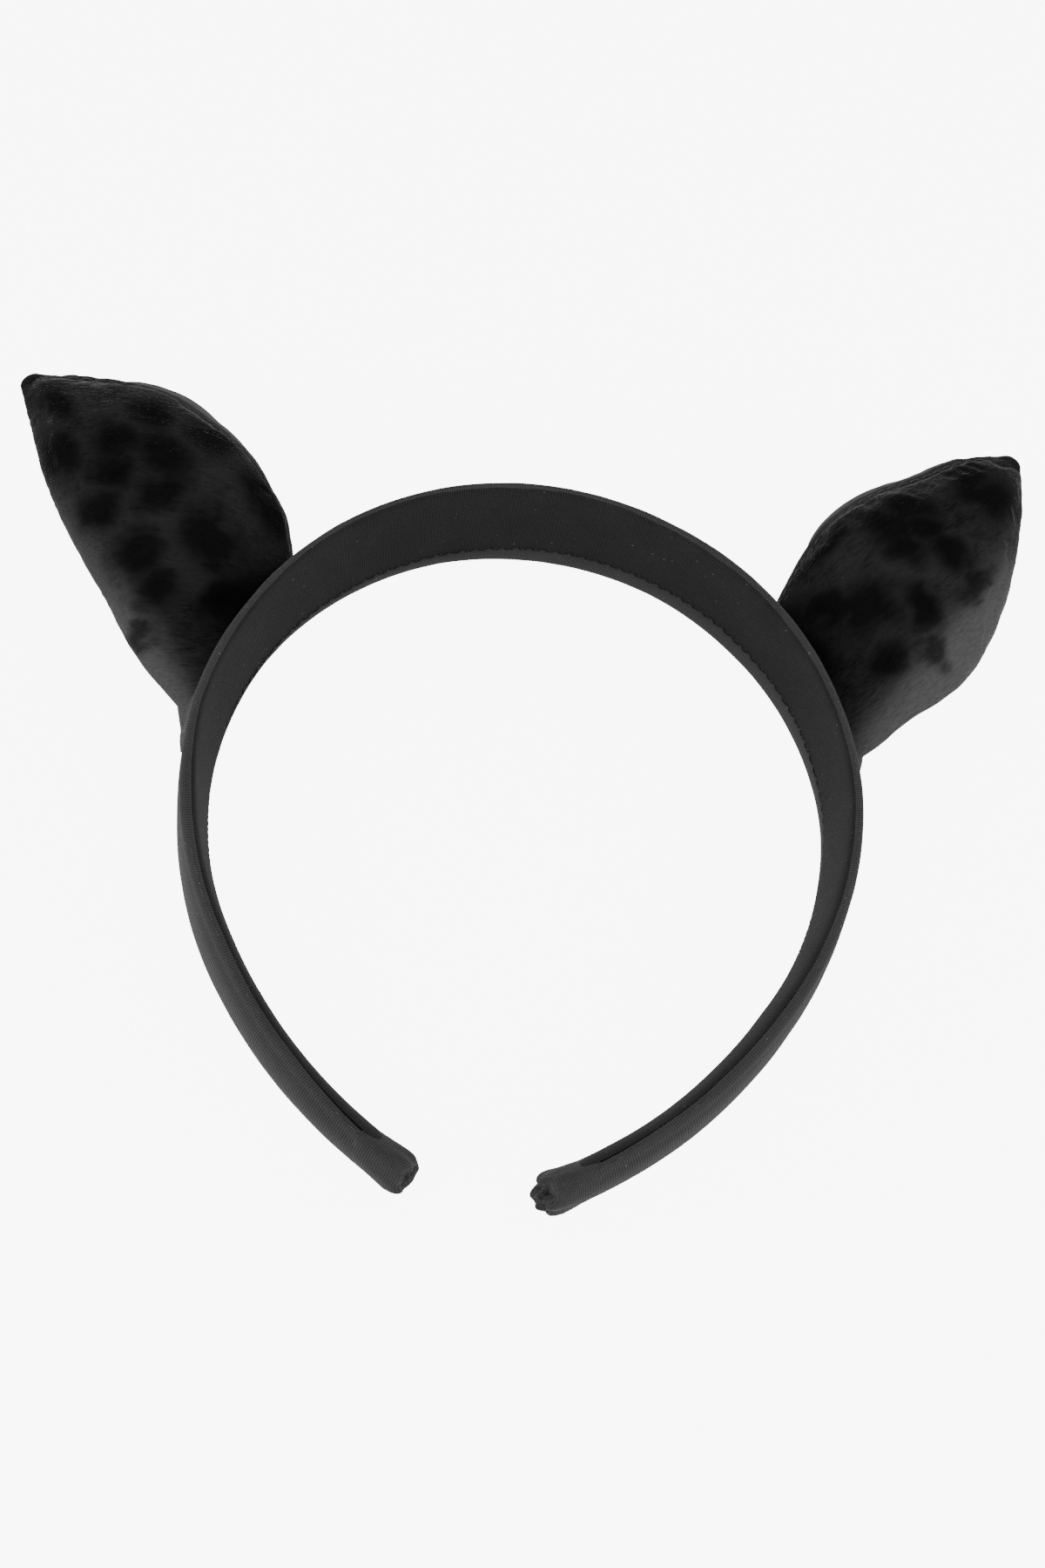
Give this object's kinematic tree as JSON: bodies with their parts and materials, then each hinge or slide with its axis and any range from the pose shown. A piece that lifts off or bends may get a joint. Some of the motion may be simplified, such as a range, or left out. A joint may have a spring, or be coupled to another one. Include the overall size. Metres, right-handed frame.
{
  "type": "animal ears headband",
  "caption": "Ribbon-covered padded headband with a pair of stuffed velvet animal ears sewn to its arms, lying on its back edge.",
  "frame": {"origin": "centre of the bounding box in X and Y, at its bottom, where the back edge of the band rests on the table", "axes": "+X across the head from the left ear to the right ear as pictured, +Y from the tips of the band to its crown, +Z from the band's back edge to its front edge"},
  "size_m": [0.2261, 0.1839, 0.0262],
  "materials": {
    "ribbon": "finely ribbed charcoal ribbon with a low satin sheen",
    "core_plastic": "plain black moulded plastic",
    "padding_foam": "thin foam wadding",
    "ear_velvet": "short-pile charcoal velvet with darker blotches",
    "ear_satin": "dark grey satin",
    "stuffing": "white fibre filling",
    "thread": "black polyester thread"
  },
  "bodies": {
    "crown": {"core_crown": "core_plastic", "padding_crown": "padding_foam", "cover_crown": "ribbon", "lining_crown": "ribbon", "hem_thread_crown": "thread"},
    "left_arm": {"core_left": "core_plastic", "padding_left": "padding_foam", "cover_left": "ribbon", "lining_left": "ribbon", "hem_thread_left": "thread", "tip_wrap_left": "ribbon", "ear_flange_left": "ear_velvet", "flange_thread_left": "thread"},
    "right_arm": {"core_right": "core_plastic", "padding_right": "padding_foam", "cover_right": "ribbon", "lining_right": "ribbon", "hem_thread_right": "thread", "tip_wrap_right": "ribbon", "ear_flange_right": "ear_velvet", "flange_thread_right": "thread"},
    "left_ear": {"ear_front_left": "ear_velvet", "ear_back_left": "ear_satin", "ear_stuffing_left": "stuffing", "ear_edge_thread_left": "thread"},
    "right_ear": {"ear_front_right": "ear_velvet", "ear_back_right": "ear_satin", "ear_stuffing_right": "stuffing", "ear_edge_thread_right": "thread"}
  },
  "joints": [
    {"name": "left_arm_flex", "type": "hinge", "parent": "crown", "child": "left_arm", "pos_m": [-0.01902, 0.05334, 0], "axis": [0, 0, -1], "range_deg": [-4, 16], "stiffness_Nm_per_rad": 1.2},
    {"name": "right_arm_flex", "type": "hinge", "parent": "crown", "child": "right_arm", "pos_m": [0.03482, 0.05334, 0], "axis": [0, 0, 1], "range_deg": [-4, 16], "stiffness_Nm_per_rad": 1.2},
    {"name": "left_ear_tilt", "type": "hinge", "parent": "left_arm", "child": "left_ear", "pos_m": [-0.05603, 0.01984, 0.01], "axis": [0.3949, 0.9187, 0], "range_deg": [-12, 22], "stiffness_Nm_per_rad": 0.12},
    {"name": "right_ear_tilt", "type": "hinge", "parent": "right_arm", "child": "right_ear", "pos_m": [0.06737, 0.02857, 0.0103], "axis": [0.5144, -0.8576, 0], "range_deg": [-12, 22], "stiffness_Nm_per_rad": 0.12}
  ]
}
